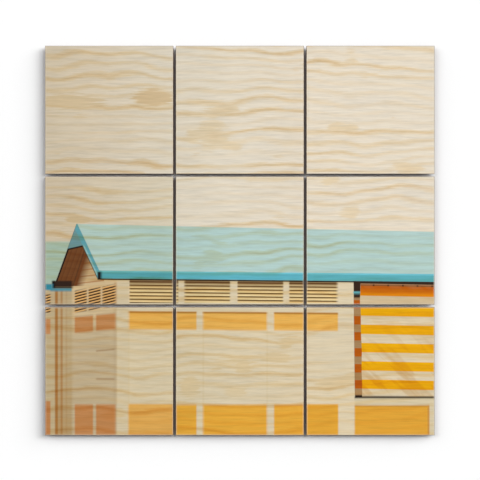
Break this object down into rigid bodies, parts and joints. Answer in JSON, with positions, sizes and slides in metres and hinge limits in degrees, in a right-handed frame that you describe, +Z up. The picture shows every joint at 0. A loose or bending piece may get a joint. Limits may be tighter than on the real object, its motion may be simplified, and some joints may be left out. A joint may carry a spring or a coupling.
{
  "type": "wall mural",
  "caption": "Square wall mural of separate printed plywood boards in a grid with narrow gaps, each hung on reclosable strips and pulled straight off the wall.",
  "frame": {"origin": "on the wall's surface, behind the middle of the mural", "axes": "+X right as seen from the front, +Z up, +Y into the wall; the printed fronts face -Y"},
  "size_m": [0.9144, 0.011, 0.9144],
  "materials": {
    "printed_face": "satin",
    "crossband": "matte",
    "core": "matte",
    "back_veneer": "satin",
    "strip": "matte"
  },
  "bodies": {
    "wall_strips": {"bottom_row_wall_strips": "strip", "middle_row_wall_strips": "strip", "top_row_wall_strips": "strip"},
    "bottom_left_board": {"bottom_left_face_veneer": "printed_face", "bottom_left_front_crossband": "crossband", "bottom_left_core_ply": "core", "bottom_left_back_crossband": "crossband", "bottom_left_back_veneer": "back_veneer", "bottom_left_board_strips": "strip"},
    "bottom_centre_board": {"bottom_centre_face_veneer": "printed_face", "bottom_centre_front_crossband": "crossband", "bottom_centre_core_ply": "core", "bottom_centre_back_crossband": "crossband", "bottom_centre_back_veneer": "back_veneer", "bottom_centre_board_strips": "strip"},
    "bottom_right_board": {"bottom_right_face_veneer": "printed_face", "bottom_right_front_crossband": "crossband", "bottom_right_core_ply": "core", "bottom_right_back_crossband": "crossband", "bottom_right_back_veneer": "back_veneer", "bottom_right_board_strips": "strip"},
    "middle_left_board": {"middle_left_face_veneer": "printed_face", "middle_left_front_crossband": "crossband", "middle_left_core_ply": "core", "middle_left_back_crossband": "crossband", "middle_left_back_veneer": "back_veneer", "middle_left_board_strips": "strip"},
    "middle_centre_board": {"middle_centre_face_veneer": "printed_face", "middle_centre_front_crossband": "crossband", "middle_centre_core_ply": "core", "middle_centre_back_crossband": "crossband", "middle_centre_back_veneer": "back_veneer", "middle_centre_board_strips": "strip"},
    "middle_right_board": {"middle_right_face_veneer": "printed_face", "middle_right_front_crossband": "crossband", "middle_right_core_ply": "core", "middle_right_back_crossband": "crossband", "middle_right_back_veneer": "back_veneer", "middle_right_board_strips": "strip"},
    "top_left_board": {"top_left_face_veneer": "printed_face", "top_left_front_crossband": "crossband", "top_left_core_ply": "core", "top_left_back_crossband": "crossband", "top_left_back_veneer": "back_veneer", "top_left_board_strips": "strip"},
    "top_centre_board": {"top_centre_face_veneer": "printed_face", "top_centre_front_crossband": "crossband", "top_centre_core_ply": "core", "top_centre_back_crossband": "crossband", "top_centre_back_veneer": "back_veneer", "top_centre_board_strips": "strip"},
    "top_right_board": {"top_right_face_veneer": "printed_face", "top_right_front_crossband": "crossband", "top_right_core_ply": "core", "top_right_back_crossband": "crossband", "top_right_back_veneer": "back_veneer", "top_right_board_strips": "strip"}
  },
  "joints": [
    {"name": "bottom_left_pull_off", "type": "slide", "parent": "wall_strips", "child": "bottom_left_board", "axis": [0, -1, 0], "range_m": [0, 0.06]},
    {"name": "bottom_centre_pull_off", "type": "slide", "parent": "wall_strips", "child": "bottom_centre_board", "axis": [0, -1, 0], "range_m": [0, 0.06]},
    {"name": "bottom_right_pull_off", "type": "slide", "parent": "wall_strips", "child": "bottom_right_board", "axis": [0, -1, 0], "range_m": [0, 0.06]},
    {"name": "middle_left_pull_off", "type": "slide", "parent": "wall_strips", "child": "middle_left_board", "axis": [0, -1, 0], "range_m": [0, 0.06]},
    {"name": "middle_centre_pull_off", "type": "slide", "parent": "wall_strips", "child": "middle_centre_board", "axis": [0, -1, 0], "range_m": [0, 0.06]},
    {"name": "middle_right_pull_off", "type": "slide", "parent": "wall_strips", "child": "middle_right_board", "axis": [0, -1, 0], "range_m": [0, 0.06]},
    {"name": "top_left_pull_off", "type": "slide", "parent": "wall_strips", "child": "top_left_board", "axis": [0, -1, 0], "range_m": [0, 0.06]},
    {"name": "top_centre_pull_off", "type": "slide", "parent": "wall_strips", "child": "top_centre_board", "axis": [0, -1, 0], "range_m": [0, 0.06]},
    {"name": "top_right_pull_off", "type": "slide", "parent": "wall_strips", "child": "top_right_board", "axis": [0, -1, 0], "range_m": [0, 0.06]}
  ]
}
